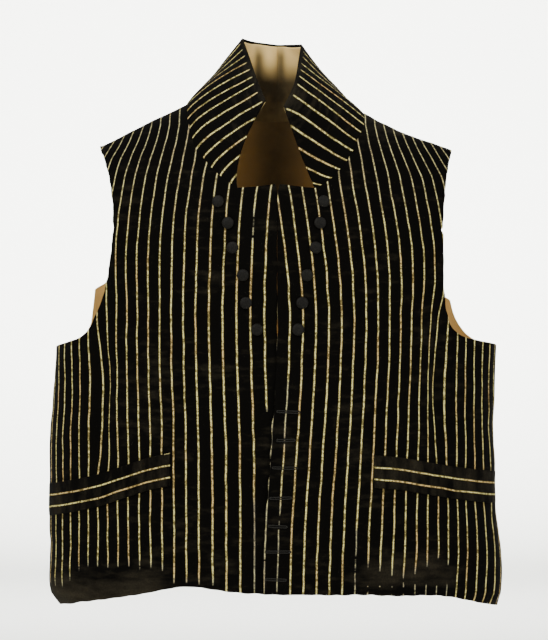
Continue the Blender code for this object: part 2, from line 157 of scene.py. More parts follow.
def eased(at, xs, ys):
    """Values along a smooth line through points, which never swings past them."""
    xs, ys, at = np.array(xs, float), np.array(ys, float), np.asarray(at, float)
    gaps, slopes = np.diff(xs), np.diff(ys) / np.diff(xs)
    lean = np.zeros_like(ys)
    lean[0], lean[-1] = slopes[0], slopes[-1]
    if len(xs) > 2:
        same = slopes[1:] * slopes[:-1] > 0
        heavy, light = 2 * gaps[1:] + gaps[:-1], gaps[1:] + 2 * gaps[:-1]
        safe = np.where(np.abs(slopes) < 1e-12, 1.0, slopes)
        spread = heavy / safe[:-1] + light / safe[1:]
        lean[1:-1] = np.where(same, (heavy + light) / np.where(same, spread, 1.0), 0.0)
    cell = np.clip(np.searchsorted(xs, at, side="right") - 1, 0, len(gaps) - 1)
    part = np.clip((at - xs[cell]) / gaps[cell], 0, 1)
    a, b, gap = ys[cell], ys[cell + 1], gaps[cell]
    curve = (1 + 2 * part) * (1 - part) ** 2 * a + part * (1 - part) ** 2 * gap * lean[cell]
    return curve + part**2 * (3 - 2 * part) * b + part**2 * (part - 1) * gap * lean[cell + 1]


def turned(table):
    """Shares along a half section, and how far out and back it has come by each, of 1."""
    shares, degrees = np.array(table, float).T
    steps = np.linspace(0, 1, 241)
    angles = np.radians(eased(steps, shares, degrees))
    middle = (angles[1:] + angles[:-1]) / 2
    out = np.concatenate(([0], np.cumsum(np.cos(middle))))
    back = np.concatenate(([0], np.cumsum(np.sin(middle))))
    return steps, out / out[-1], back / back[-1]


FRONT, BACK = turned(FRONT_TURNS), turned(BACK_TURNS)


def body_value(height, index):
    table = np.array(BODY, float)
    return eased(height, table[:, 0], table[:, index])


def half_width(side, height):
    return body_value(height, 1 if side == "right" else 2)


def hem_height(side, out):
    table = np.array(HEM_LINE, float)
    return eased(SIGN[side] * np.asarray(out), table[:, 0], table[:, 1])


def shoulder_height(side, out):
    table = np.array(SHOULDER_LINE, float)
    return eased(out, table[:, 0], table[:, 1 if side == "right" else 2])


def level_of(side, out, height):
    """0 at the hem, 1 at the chest line and 2 on the shoulder line, for a point on a panel."""
    hem = hem_height(side, out)
    low = np.maximum(0.0, (height - hem) / (CHEST - hem))
    rise = np.clip((height - CHEST) / (shoulder_height(side, out) - CHEST), 0, 1)
    high = 1 + np.arcsin(rise ** (1 / SHOULDER_ROUND)) / (math.pi / 2)
    return np.where(height <= CHEST, low, high)


def share_of(section, side, out, height):
    """Share of the way from the centre to the side seam where a panel is this far out."""
    part = np.minimum(1.0, np.abs(out) / half_width(side, height))
    return np.copysign(np.interp(part, section[1], section[0]), out)


def depth_of(section, share, height):
    """How far behind the foremost point a section lies, below the chest line."""
    part = np.interp(np.abs(share), section[0], section[2])
    centre = body_value(height, 4 if section is FRONT else 5)
    return centre + (body_value(height, 3) - centre) * part


def waves(seed, across, up, size, amount):
    """A soft uneven swell over the cloth, of about that wavelength and height."""
    rng = np.random.default_rng(seed)
    total = np.zeros(np.broadcast(across, up).shape)
    for _ in range(9):
        way, phase = rng.uniform(0, 2 * math.pi, 2)
        run = 2 * math.pi / (size * rng.uniform(0.7, 1.5))
        total += np.sin(run * (math.cos(way) * across + math.sin(way) * up) + phase)
    return total * amount / 3


def panel_point(section, side, share, level):
    """Points on the outer face of a panel before its creases, out, back and up."""
    share, level = np.broadcast_arrays(np.asarray(share, float), np.asarray(level, float))
    part = np.copysign(np.interp(np.abs(share), section[0], section[1]), share)
    out = half_width(side, CHEST * np.minimum(level, 1)) * part
    hem = hem_height(side, out)
    low = hem + (CHEST - hem) * np.minimum(level, 1)
    angle = np.clip(level - 1, 0, 2) * math.pi / 2
    rise = np.abs(np.sin(angle)) ** SHOULDER_ROUND
    height = np.where(level <= 1, low, CHEST + (shoulder_height(side, np.abs(out)) - CHEST) * rise)
    reach = depth_of(section, share, CHEST) - SHOULDER_DEPTH
    if section is FRONT:
        behind = depth_of(BACK, share_of(BACK, side, out, CHEST), CHEST) - SHOULDER_DEPTH
        reach = np.where(level > 2, behind, reach)
    over = SHOULDER_DEPTH + reach * np.abs(np.cos(angle)) ** SHOULDER_ROUND
    depth = np.where(level <= 1, depth_of(section, share, low), over)
    if section is FRONT:
        push = np.zeros_like(out)
        for fold_side, centre, width, deep, bottom, top in UNDERARM_FOLDS:
            if fold_side == side:
                run = np.sin(math.pi * np.clip((height - bottom) / (top - bottom), 0, 1))
                push += deep * run * np.exp(-(((out - centre) / width) ** 2))
        length = np.maximum(np.hypot(out, BODY_AXIS - depth), 1.0)
        beside = np.interp(out, UNDER_LAP_OUT, (1, 0))
        below = np.interp(height, UNDER_LAP_HEIGHT, (1, 0))
        lap = (UNDER_LAP * beside * below) if side == "right" else 0.0
        out, depth = out - push * out / length, depth + push * (BODY_AXIS - depth) / length + lap
    else:
        out = out - BACK_TUCK * np.interp(share, (0.9, 1), (0, 1)) * np.interp(level, (0.9, 1), (1, 0))
    at_side = np.interp(out, (150, 215), (0, 1))
    out = out - HEM_CORNER[side] * at_side * np.exp(-(((height - LOWEST) / HEM_CORNER_SPAN) ** 2))
    uneven = waves(71, SIGN[side] * out, 0 * out, 16, 0.4) * np.clip(1 - (height - hem) / 8, 0, 1)
    height = height + np.where(level < 1, uneven, 0)
    return np.stack([SIGN[side] * out, depth, height], axis=-1)


def cloth_lift(section, side, points):
    """How far the cloth stands off its smooth form, for slight hand-sewn unevenness."""
    out, height = np.abs(points[..., 0]), points[..., 2]
    seed = 11 if side == "right" else 23
    if section is FRONT:
        lift = waves(seed, out, height, 70, 0.55) + waves(seed + 1, out * 1.6, height, 26, 0.2)
        hem = height - hem_height(side, out)
        lift -= HEM_RIDGE * np.clip((hem - HEM_TURNED_UP) / 1.5, 0, 1) * np.clip((40 - hem) / 20, 0, 1)
    else:
        lift = waves(seed + 2, out, height, 80, 0.9) + waves(seed + 3, out, height * 0.4, 30, 0.3)
    return lift


def panel_surface(section, side, share, level):
    """Points on a panel as it hangs, with its creases, and the way out of the cloth at each."""
    flat = panel_point(section, side, share, level)
    d = 2e-3
    across = panel_point(section, side, share + d, level) - panel_point(section, side, share - d, level)
    up = panel_point(section, side, share, level + d) - panel_point(section, side, share, level - d)
    normal = np.cross(across, up)
    turn = SIGN[side] if section is FRONT else -SIGN[side]
    normal *= turn / np.maximum(np.linalg.norm(normal, axis=-1, keepdims=True), 1e-9)
    return flat + normal * cloth_lift(section, side, flat)[..., None], normal


def placed(points):
    """Points in the shared frame, in metres."""
    return (points - np.array((0, SHOULDER_DEPTH, SHOULDER_HEIGHT))) * MM


def finished(name, mesh):
    """The object of a mesh that is done."""
    data = bpy.data.meshes.new(name)
    mesh.to_mesh(data)
    mesh.free()
    piece = bpy.data.objects.new(name, data)
    bpy.context.collection.objects.link(piece)
    return piece


def laid_grid(mesh, points):
    """A grid of vertices laid on rows of points, in their order."""
    rows, columns = points.shape[:2]
    grid = bmesh.ops.create_grid(mesh, x_segments=columns - 1, y_segments=rows - 1, size=1)
    verts = sorted(grid["verts"], key=lambda vert: (round(vert.co.y, 6), round(vert.co.x, 6)))
    for vert, place in zip(verts, placed(points).reshape(-1, 3)):
        vert.co = place
    return verts


def grid_sheet(name, points, values):
    """A cloth object whose grid of points lies on a surface, with values for its material."""
    mesh = bmesh.new()
    layers = {key: mesh.verts.layers.float_vector.new(key) for key in values}
    for index, vert in enumerate(laid_grid(mesh, points)):
        for key, layer in layers.items():
            vert[layer] = values[key].reshape(-1, 3)[index]
    return finished(name, mesh)


def outward(piece, normals):
    """Turns the faces over if they look into the garment."""
    data = piece.data
    total = sum(
        float(np.dot(normals[v], data.vertices[v].normal)) for v in range(0, len(data.vertices), 97)
    )
    if total < 0:
        data.flip_normals()


def give_wall(piece, wall, looks, edge=0.6):
    """Thickens a sheet inward, with its lining on the inner face and a rolled edge."""
    for look in looks:
        piece.data.materials.append(look)
    piece.data.shade_smooth()
    shell = piece.modifiers.new("wall", "SOLIDIFY")
    shell.thickness = wall * MM
    shell.offset = -1
    shell.use_quality_normals = True
    shell.material_offset = len(looks) - 1
    roll = piece.modifiers.new("rolled edge", "BEVEL")
    roll.width = edge * MM
    roll.segments = 2
    roll.limit_method = "ANGLE"
    roll.angle_limit = math.radians(55)
    roll.material = 0


def through(ends, corners, at):
    """A column of row ends as one smooth line between its corners."""
    total = np.zeros_like(at)
    for start, stop in zip(corners[:-1], corners[1:]):
        part = (at >= start) & (at <= stop)
        total[part] = eased(at[part], np.arange(start, stop + 1), ends[start : stop + 1])
    return total


def row_ends(section, side, rows, inner, outer):
    """Fine rows of a panel: the share and level of each inner end, then of each outer end."""
    ends = []
    for row in rows:
        spots = []
        for out, height in (row[:2], row[2:]):
            at = min(max(height, 0.0), CHEST)
            spots += [float(share_of(section, side, out, at)), float(level_of(side, abs(out), height))]
        ends.append(spots)
    ends = np.array(ends)
    ends[:, 2] = np.minimum(ends[:, 2], 0.9997)
    last = len(ends) - 1
    at = np.linspace(0, last, last * ROWS_BETWEEN + 1)
    return at, [through(ends[:, k], (inner if k < 2 else outer) + (last,), at) for k in range(4)]


def filled(lines, columns):
    """Shares and levels of a grid between the two ends of each row."""
    across = np.linspace(0, 1, columns + 1)
    share = lines[0][:, None] + (lines[2] - lines[0])[:, None] * across
    level = lines[1][:, None] + (lines[3] - lines[1])[:, None] * across
    return across, share, level


def front_grid(side, columns):
    """Shares and levels of a fine grid over one front."""
    corners = (0, TOP_ROW, COLLAR_ROW), (0, ARMHOLE_ROW)
    at, lines = row_ends(FRONT, side, FRONT_ROWS[side], *corners)
    seam = 2 + (SEAM_PAST_RIDGE - 0.1) / 90
    for step in np.linspace(0, 1, 5)[1:]:
        level = 2 + (seam - 2) * step
        lines = [np.append(line, level if k % 2 else line[-1]) for k, line in enumerate(lines)]
    across, share, level = filled(lines, columns)
    inner_shift, outer_shift = edge_shifts(side, np.append(at, [at[-1]] * 4), lines[1])
    share += inner_shift[:, None] * (1 - across) ** 14 + outer_shift[:, None] * across**14
    return share, level


def edge_shifts(side, rows, level):
    """How far the front edge and the armhole edge wander from a straight cut, as shares."""
    height = level * CHEST
    shift = waves(61 if side == "right" else 62, height, 0 * height, 24, 0.3)
    shift += TOP_NOTCH * np.exp(-(((rows - TOP_ROW) / 0.16) ** 2)) * (rows <= TOP_ROW + 0.3)
    if side == "left":
        for above, below in zip(BUTTONHOLES, BUTTONHOLES[1:]):
            shift -= GAPE * np.exp(-(((height - (above + below) / 2) / 7) ** 2))
    ragged = waves(63 if side == "right" else 64, rows * 20, 0 * rows, 16, 0.35)
    ragged *= np.clip((rows - ARMHOLE_ROW) / 0.8, 0, 1) * np.clip((24 - rows) / 2, 0, 1)
    if side == "left":
        ragged -= ARMHOLE_TEAR * np.exp(-(((rows - TEAR_ROW) / 0.12) ** 2))
    return shift / half_width(side, 0), ragged / half_width(side, 0)


def along_section(side, share, height):
    """Length of cloth from the centre to a share of a front, along its section at that height."""
    steps, across, back = FRONT
    wide = half_width(side, height)
    deep = body_value(height, 3) - body_value(height, 4)
    lengths = np.hypot(np.diff(across)[:, None] * wide.ravel(), np.diff(back)[:, None] * deep.ravel())
    total = np.concatenate([np.zeros((1, wide.size)), np.cumsum(lengths, axis=0)])
    place = np.abs(share.ravel()) * (len(steps) - 1)
    cell = np.clip(place.astype(int), 0, len(steps) - 2)
    pick = np.arange(wide.size)
    value = total[cell, pick] + (place - cell) * (total[cell + 1, pick] - total[cell, pick])
    return np.copysign(value.reshape(share.shape), share)


def stripe_values(side, points, share, level):
    """Stripe number, height and how much of the straw yarn is left, for the velvet's material."""
    top = shoulder_height(side, np.abs(points[..., 0]))
    height = np.where(level > 2, 2 * top - points[..., 2], points[..., 2])
    length = along_section(side, share, np.clip(height, -20, CHEST))
    near_pitch, bend, far_pitch = STRIPE_PITCHES[side]
    table = np.array(STRIPE_HANG[side], float)
    first, crowd = (eased(height, table[:, 0], table[:, k]) for k in (1, 2))
    number = first + (np.minimum(length, bend) - STRIPE_DATUM) / near_pitch
    number += np.maximum(length - bend, 0) / far_pitch
    number += crowd * (np.maximum(length - CROWD_START, 0) / 100) ** 1.5
    near = np.round(number)
    ends = np.array(STRAW_ENDS[side], float)
    stop = np.interp(near, ends[:, 0], ends[:, 1])
    kept = np.clip((height - stop) / 16 + 0.5, 0, np.interp(height, *SHOULDER_FADE))
    for worn_side, worn_number, heights, left_over in WORN_STRIPES:
        if worn_side == side:
            kept = np.where(near == worn_number, kept * np.interp(height, heights, left_over), kept)
    if side == "left":
        kept = np.where(near == SPECKLED, np.maximum(kept, 0.5), kept)
        above = height - hem_height(side, np.abs(points[..., 0]))
        on_hem = (above < 1.5) | ((above > 4.5) & (above < 11))
        dots = (near >= HEM_DOTS[0]) & (near <= HEM_DOTS[1]) & on_hem
        kept = np.where(dots, 0.55, kept)
    else:
        kept = np.where(near <= 0, 0, kept)
    return np.stack([number, height, kept], axis=-1)


def cloth_look(name):
    look = bpy.data.materials.new(name)
    look.use_nodes = True
    nodes, links = look.node_tree.nodes, look.node_tree.links
    return look, nodes, links, nodes["Principled BSDF"]


def surface(shader, *settings):
    """Settings that are the same all over a surface, on the shader's own sockets."""
    for key, value in settings:
        shader.inputs[key].default_value = value


def object_place(tree):
    return tree.nodes.new("ShaderNodeTexCoord").outputs["Object"]


def carried(tree, name):
    """The three numbers that each point of a cloth carries under a name."""
    made = tree.nodes.new("ShaderNodeAttribute")
    made.attribute_name = made.label = name
    parts = tree.nodes.new("ShaderNodeSeparateXYZ")
    tree.links.new(made.outputs["Vector"], parts.inputs[0])
    return parts.outputs


def maths(tree, kind, a, b=None, c=None, clamp=False):
    """A Math node fed by sockets or numbers."""
    made = tree.nodes.new("ShaderNodeMath")
    made.operation, made.use_clamp = kind, clamp
    for slot, value in zip(made.inputs, (a, b, c)):
        if value is None:
            continue
        if isinstance(value, (int, float)):
            slot.default_value = value
        else:
            tree.links.new(value, slot)
    return made.outputs[0]


def noise(tree, vector, scale, detail=2.0, rough=0.5):
    made = tree.nodes.new("ShaderNodeTexNoise")
    made.inputs["Scale"].default_value = scale
    made.inputs["Detail"].default_value = detail
    made.inputs["Roughness"].default_value = rough
    tree.links.new(vector, made.inputs["Vector"])
    return made.outputs["Fac"]


def ranged(tree, value, low, high, to_low=0.0, to_high=1.0, soft=True):
    made = tree.nodes.new("ShaderNodeMapRange")
    made.interpolation_type = "SMOOTHSTEP" if soft else "LINEAR"
    for slot, number in zip(made.inputs[1:5], (low, high, to_low, to_high)):
        slot.default_value = number
    tree.links.new(value, made.inputs[0])
    return made.outputs[0]


def mixed(tree, factor, a, b):
    made = tree.nodes.new("ShaderNodeMix")
    made.data_type = "RGBA"
    for slot, value in ((made.inputs[0], factor), (made.inputs[6], a), (made.inputs[7], b)):
        if isinstance(value, tuple):
            slot.default_value = (*value, 1)
        elif isinstance(value, (int, float)):
            slot.default_value = value
        else:
            tree.links.new(value, slot)
    return made.outputs[2]


def joined(tree, x, y, z=0.0):
    made = tree.nodes.new("ShaderNodeCombineXYZ")
    for slot, value in zip(made.inputs, (x, y, z)):
        if isinstance(value, (int, float)):
            slot.default_value = value
        else:
            tree.links.new(value, slot)
    return made.outputs[0]


def raised(tree, shader, height, strength, distance):
    """The fine relief of a cloth, as a bump up to a distance in millimetres."""
    bump = tree.nodes.new("ShaderNodeBump")
    bump.inputs["Strength"].default_value = strength
    bump.inputs["Distance"].default_value = distance * MM
    tree.links.new(height, bump.inputs["Height"])
    tree.links.new(bump.outputs[0], shader.inputs["Normal"])


VELVET_DARK = (0.0011, 0.0009, 0.0006)
VELVET_WORN = (0.030, 0.025, 0.015)
STRAW_LIGHT = (0.60, 0.55, 0.22)
STRAW_TAN = (0.50, 0.35, 0.15)
STRAW_DEEP = (0.24, 0.17, 0.05)
STRAW_EDGE = (0.030, 0.021, 0.004)
STRAW_SPENT = (0.17, 0.17, 0.15)
STRIPE_SWAY = 0.15  # shares of a repeat by which a stripe wanders to and fro
FRAY = 0.9  # millimetres by which its edges do
STRIPE_HALF = (0.85, 1.45)  # half width where the straw starts to give way to velvet, and has
STRIPE_CORE = (0.35, 1.0)  # the same for its paler middle
STRIPE_THINS = 0.9  # millimetres that a half width loses where no straw is left


def velvet_look(name):
    """Worn velvet with straw stripes, read from the stripe values on the points."""
    look, _, links, shader = cloth_look(name)
    tree = look.node_tree
    number, height, kept = carried(tree, "stripe")
    where = object_place(tree)
    whole = maths(tree, "ROUND", number)
    run = joined(tree, maths(tree, "MULTIPLY", whole, 7.31), maths(tree, "MULTIPLY", height, 0.04))
    sway = maths(tree, "MULTIPLY_ADD", noise(tree, run, 1.0, 3.0), STRIPE_SWAY, -STRIPE_SWAY / 2)
    off = maths(tree, "ABSOLUTE", maths(tree, "SUBTRACT", maths(tree, "ADD", number, sway), whole))
    away = maths(tree, "MULTIPLY", off, STRIPE_PITCH)
    frayed = maths(tree, "MULTIPLY_ADD", noise(tree, where, 1500.0, 2.0), FRAY, -FRAY / 2)
    thinned = maths(tree, "MULTIPLY_ADD", kept, -STRIPE_THINS, STRIPE_THINS)
    edge = maths(tree, "ADD", maths(tree, "ADD", away, frayed), thinned)
    band = ranged(tree, edge, *STRIPE_HALF, 1.0, 0.0)
    core = ranged(tree, edge, *STRIPE_CORE, 1.0, 0.0)
    patchy = noise(tree, run, 3.2, 3.0, 0.6)
    patchy = maths(tree, "MULTIPLY_ADD", patchy, 1.2, -0.6)
    left = ranged(tree, maths(tree, "ADD", kept, patchy), 0.38, 0.55)
    band = maths(tree, "MULTIPLY", band, left)
    flecks = noise(tree, where, 340.0, 3.0, 0.7)
    fine = noise(tree, where, 900.0, 2.0, 0.7)
    along = joined(tree, maths(tree, "MULTIPLY", whole, 3.7), maths(tree, "MULTIPLY", height, 0.018))
    drift = noise(tree, along, 1.0, 2.0)
    straw = mixed(tree, ranged(tree, drift, 0.36, 0.55), STRAW_TAN, STRAW_LIGHT)
    straw = mixed(tree, ranged(tree, fine, 0.40, 0.58, 0.7, 0.0), straw, STRAW_DEEP)
    straw = mixed(tree, ranged(tree, flecks, 0.49, 0.56, 0.0, 0.8), straw, STRAW_EDGE)
    straw = mixed(tree, core, STRAW_EDGE, straw)
    straw = mixed(tree, ranged(tree, kept, 0.55, 0.95, 0.32, 0.0), straw, STRAW_SPENT)
    broad = noise(tree, where, 14.0, 3.0, 0.6)
    over = joined(tree, maths(tree, "MULTIPLY", number, 0.35), maths(tree, "MULTIPLY", height, 0.11))
    crush = noise(tree, over, 1.0, 4.0, 0.65)
    pile = noise(tree, where, 700.0, 3.0, 0.7)
    rubbed = maths(tree, "ADD", carried(tree, "wear")[0], maths(tree, "MULTIPLY_ADD", broad, 0.9, -0.50))
    rubbed = maths(tree, "ADD", rubbed, maths(tree, "MULTIPLY_ADD", crush, 1.2, -0.62))
    tips = ranged(tree, pile, 0.3, 0.7, 0.55, 1.3, False)
    rubbed = maths(tree, "MULTIPLY", maths(tree, "MAXIMUM", rubbed, 0.0), tips, clamp=True)
    velvet = mixed(tree, rubbed, VELVET_DARK, VELVET_WORN)
    links.new(mixed(tree, band, velvet, straw), shader.inputs["Base Color"])
    surface(
        shader,
        ("Roughness", 0.82),
        ("Specular IOR Level", 0.03),
        ("Sheen Weight", 0.004),
        ("Sheen Roughness", 0.4),
        ("Sheen Tint", (0.9, 0.8, 0.65, 1)),
    )
    rise = maths(tree, "MULTIPLY_ADD", pile, 0.35, maths(tree, "MULTIPLY", crush, 0.9))
    rise = maths(tree, "SUBTRACT", rise, maths(tree, "MULTIPLY", band, 0.35))
    raised(tree, shader, rise, 0.6, 0.6)
    return look


# colour of the painted shade that darkens the tan cottons deep inside the neck and in the facing's folds
COTTON_PAINTED_SHADE = (0.023, 0.016, 0.005)
YARNS = 420.0  # scale of the weave


def cotton_look(name, light, deep, painted_shade_amount=1.0):
    """Plain-woven tan cotton with a fine weave and old soft stains, with painted shade mixed in where the
    points carry it.
    """
    look, nodes, links, shader = cloth_look(name)
    tree = look.node_tree
    where = object_place(tree)
    yarns = []
    for way, detail in (("Z", 1.0), ("X", 2.0)):
        made = nodes.new("ShaderNodeTexWave")
        made.wave_type, made.bands_direction = "BANDS", way
        made.inputs["Scale"].default_value = YARNS
        made.inputs["Distortion"].default_value = 1.5
        made.inputs["Detail"].default_value = detail
        links.new(where, made.inputs["Vector"])
        yarns.append(made.outputs["Fac"])
    yarn = maths(tree, "MULTIPLY", *yarns)
    stain = noise(tree, where, 22.0, 4.0, 0.6)
    tone = maths(tree, "ADD", maths(tree, "MULTIPLY", stain, 0.9), maths(tree, "MULTIPLY", yarn, 0.25))
    colour = mixed(tree, ranged(tree, tone, 0.3, 0.75), deep, light)
    # painted shade, scaled by the last argument and made patchy by the stains
    spread = maths(tree, "MULTIPLY_ADD", stain, 0.3, -0.15)
    patchy = maths(tree, "MULTIPLY_ADD", spread, painted_shade_amount, 0.95 * painted_shade_amount)
    painted_dark = maths(tree, "MULTIPLY", carried(tree, "painted_shade")[0], patchy, clamp=True)
    colour = mixed(tree, painted_dark, colour, COTTON_PAINTED_SHADE)
    links.new(colour, shader.inputs["Base Color"])
    surface(shader, ("Roughness", 0.88), ("Specular IOR Level", 0.2), ("Sheen Weight", 0.08))
    raised(tree, shader, yarn, 0.4, 0.3)
    return look


velvet = velvet_look("striped velvet")
lining = cotton_look("tan lining cotton", (0.55, 0.34, 0.11), (0.42, 0.25, 0.07))


def edge_wear(side, points, level):
    """More wear in the turned-up hem, along the lower edge and over the shoulders."""
    out = SIGN[side] * points[..., 0]
    hem = points[..., 2] - hem_height(side, np.abs(out))
    if side == "right":
        wear = 0.42 * np.interp(out, (90, 130), (0, 1)) * np.interp(hem, (10, 44), (1, 0))
    else:
        wear = 0.36 * np.interp(out, (60, 95, 165, 200), (0, 1, 1, 0))
        wear *= np.interp(hem, (6, 14, 26, 48), (0, 1, 1, 0))
    wear += 0.12 * np.exp(-np.maximum(hem, 0) / 22) + 0.2 * np.exp(-np.abs(level - 2) * 90 / 14)
    zero = np.zeros_like(wear)
    return np.stack([wear, zero, zero], axis=-1)


# width, length and area of the cloth of each front that shows, in metres
FRONT_CUT = {"right": (0.292, 0.598, 0.1085), "left": (0.288, 0.589, 0.1057)}
for side in ("right", "left"):
    share, level = front_grid(side, FRONT_COLUMNS)
    points, normals = panel_surface(FRONT, side, share, level)
    values = {
        "stripe": stripe_values(side, points, share, level),
        "wear": edge_wear(side, points, level),
    }
    front = grid_sheet("velvet_front_" + side, points, values)
    outward(front, normals.reshape(-1, 3))
    give_wall(front, FRONT_WALL, (velvet, lining))
    width, length, area = FRONT_CUT[side]
    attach(front, "root")
    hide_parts("front_" + side)

# ---- back ----
# The back is one piece of plain tan cotton, sewn to the fronts at the sides and behind the
# shoulder line. Its mesh is made in two halves that join down the centre.
BACK_WALL = 1.4
BACK_ROWS = {
    "right": (
        (0, HEM, SIDE, HEM), (0, 40, SIDE, 40), (0, 80, SIDE, 79), (0, 120, SIDE, 118),
        (0, 160, SIDE, 157), (0, 200, SIDE, 196), (0, 240, SIDE, 234), (0, 262, 206, 238),
        (0, 284, 194, 246), (0, 306, 186.5, 258), (0, 328, 184.5, 276), (0, 350, 183.5, 292),
        (0, 372, 171, 301), (0, 394, 164, 322), (0, 416, 160.5, 345), (0, 439, 160, 368),
        (0, 462, 162, 389), (25, 463, 164, 403), (48, 464, 167, 414), (68, 465.5, 170.5, 422),
        (82, 467.5, 172.5, 427),
    ),
    "left": (
        (0, HEM, SIDE, HEM), (0, 40, SIDE, 40), (0, 80, SIDE, 79), (0, 120, SIDE, 118),
        (0, 160, SIDE, 158), (0, 200, SIDE, 197), (0, 240, SIDE, 236), (0, 262, 201, 240),
        (0, 284, 190.5, 246), (0, 306, 181.5, 257), (0, 328, 176.5, 268), (0, 350, 173.5, 281),
        (0, 372, 163, 290), (0, 394, 158.5, 315), (0, 416, 157.5, 342), (0, 439, 158, 366),
        (0, 462, 160, 388), (25, 462, 162, 401), (46, 461, 164.5, 411), (64, 459.5, 167, 418),
        (77, 458, 169, 422),
    ),
}
BACK_SEAM_ENDS = {"right": (89, 173.5), "left": (84.2, 170)}
BACK_NECK_ROW = 16
BACK_ARMHOLE_ROWS = (6, 11)  # where the back's outer edge turns a corner
BACK_COLUMNS = 90
SAME_POINT = 0.02 * MM  # points nearer than this are merged
PAINTED_SHADE_WIDTH, PAINTED_SHADE_FROM, PAINTED_SHADE_OVER = 62, 230, 90  # painted shade inside the neck: reach sideways, height, fade


def back_grid(side, columns):
    """Shares and levels of a fine grid over one half of the back."""
    corners = (0, BACK_NECK_ROW), (0, *BACK_ARMHOLE_ROWS)
    _, lines = row_ends(BACK, side, BACK_ROWS[side], *corners)
    neck, arm = (float(share_of(BACK, side, out, CHEST)) for out in BACK_SEAM_ENDS[side])
    seam = 2 - (SEAM_PAST_RIDGE + 0.1) / 90
    target = (neck, seam, arm, seam)
    starts = [line[-1] for line in lines]
    for step in np.linspace(0, 1, 5)[1:]:
        lines = [np.append(line, a + (b - a) * step) for line, a, b in zip(lines, starts, target)]
    return filled(lines, columns)[1:]


back_cloth = cotton_look("tan back cotton", (0.46, 0.33, 0.15), (0.34, 0.24, 0.10), 0.0)
grids = [back_grid(side, BACK_COLUMNS) for side in ("right", "left")]
surfaces = [panel_surface(BACK, side, *grid) for side, grid in zip(("right", "left"), grids)]
halves = [points.copy() for points, _ in surfaces]
for half in halves:
    centre_rows = np.abs(half[:, 0, 0]) < 1
    half[centre_rows, 0, 0] = 0
middle = (halves[0][:, 0] + halves[1][:, 0]) / 2
for half in halves:
    centre_rows = np.abs(half[:, 0, 0]) < 1
    half[centre_rows, 0] = middle[centre_rows]
mesh = bmesh.new()
# painted shade on the lining deep inside the back's neck, darker towards the centre and higher up
painted_shade_layer = mesh.verts.layers.float_vector.new("painted_shade")
for half in halves:
    for vert, point in zip(laid_grid(mesh, half), half.reshape(-1, 3)):
        high = min(max((point[2] - PAINTED_SHADE_FROM) / PAINTED_SHADE_OVER, 0), 1)
        vert[painted_shade_layer] = (math.exp(-((point[0] / PAINTED_SHADE_WIDTH) ** 2)) * high, 0, 0)
bmesh.ops.remove_doubles(mesh, verts=mesh.verts, dist=SAME_POINT)
bmesh.ops.recalc_face_normals(mesh, faces=mesh.faces)
if sum(face.normal.y * face.calc_area() for face in mesh.faces) < 0:
    bmesh.ops.reverse_faces(mesh, faces=mesh.faces)
back = finished("cotton_back", mesh)
give_wall(back, BACK_WALL, (back_cloth, lining), 0.4)
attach(back, "root")
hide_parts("back")

# ---- collar ----
# The standing collar is a straight strip of the same velvet, stiffened and faced inside with tan
# cotton. It is sewn round the neck edge, and its front ends are left apart in two high points.
COLLAR_WALL = 1.4
COLLAR_STEPS, COLLAR_UP = 120, 36
COLLAR_AXIS = 112.0
COLLAR_INSIDE, COLLAR_TUCKED = 0.5, 0.6  # how far in from the neck edge it starts, and how far below
COLLAR_EDGE = {
    "right": (
        (0.0, 12, 30, 472), (0.25, 19, 62, 492), (0.5, 28, 99, 520), (0.68, 35, 127, 539.5),
        (0.84, 24, 150, 538), (1.0, 0, 160, 535.5),
    ),
    "left": (
        (0.0, 6.8, 27, 466), (0.1, 11, 42, 476), (0.25, 17.5, 62, 494), (0.5, 21, 99, 516),
        (0.68, 24, 127, 533.5), (0.84, 14, 150, 535), (1.0, 0, 160, 535.5),
    ),
}
COLLAR_CORNER = 0.68
COLLAR_BOW = {
    "right": ((0, 8), (0.5, 7), (0.75, 7), (1, 0)),
    "left": ((0, -1), (0.25, 0), (0.5, 3), (0.75, 2), (1, 0)),
}
# share of the way round from the front end, and the stripe number there, along the seam and the top
COLLAR_SEAM_STRIPES = ((0, -0.64), (0.029, 0), (0.393, 8), (1, 21.3))
COLLAR_TOP_STRIPES = {
    "right": ((0, 4), (0.14, 5), (0.25, 6), (0.59, 11), (1, 17.3)),
    "left": ((0, 4.15), (0.13, 5), (0.225, 6), (0.57, 10), (0.63, 11), (1, 17.3)),
}
COLLAR_END_SHIFT = {"right": -0.1, "left": 0.45}  # stripes by which those near the free ends are moved


def neck_line(side):
    """The neck seam of one side, from the collar's front end to the centre back."""
    front_share, front_level = front_grid(side, 2)
    front_edge = panel_surface(FRONT, side, front_share[:, :1], front_level[:, :1])[0][:, 0]
    front_edge = front_edge[COLLAR_ROW * ROWS_BETWEEN :]
    back_edge = halves[0 if side == "right" else 1][:, 0]
    back_edge = back_edge[BACK_NECK_ROW * ROWS_BETWEEN :]
    line = np.concatenate([front_edge, back_edge[::-1]])
    lengths = np.concatenate(([0], np.cumsum(np.linalg.norm(np.diff(line, axis=0), axis=1))))
    at = np.linspace(0, lengths[-1], COLLAR_STEPS + 1)
    return np.stack([np.interp(at, lengths, line[:, axis]) for axis in range(3)], axis=1)


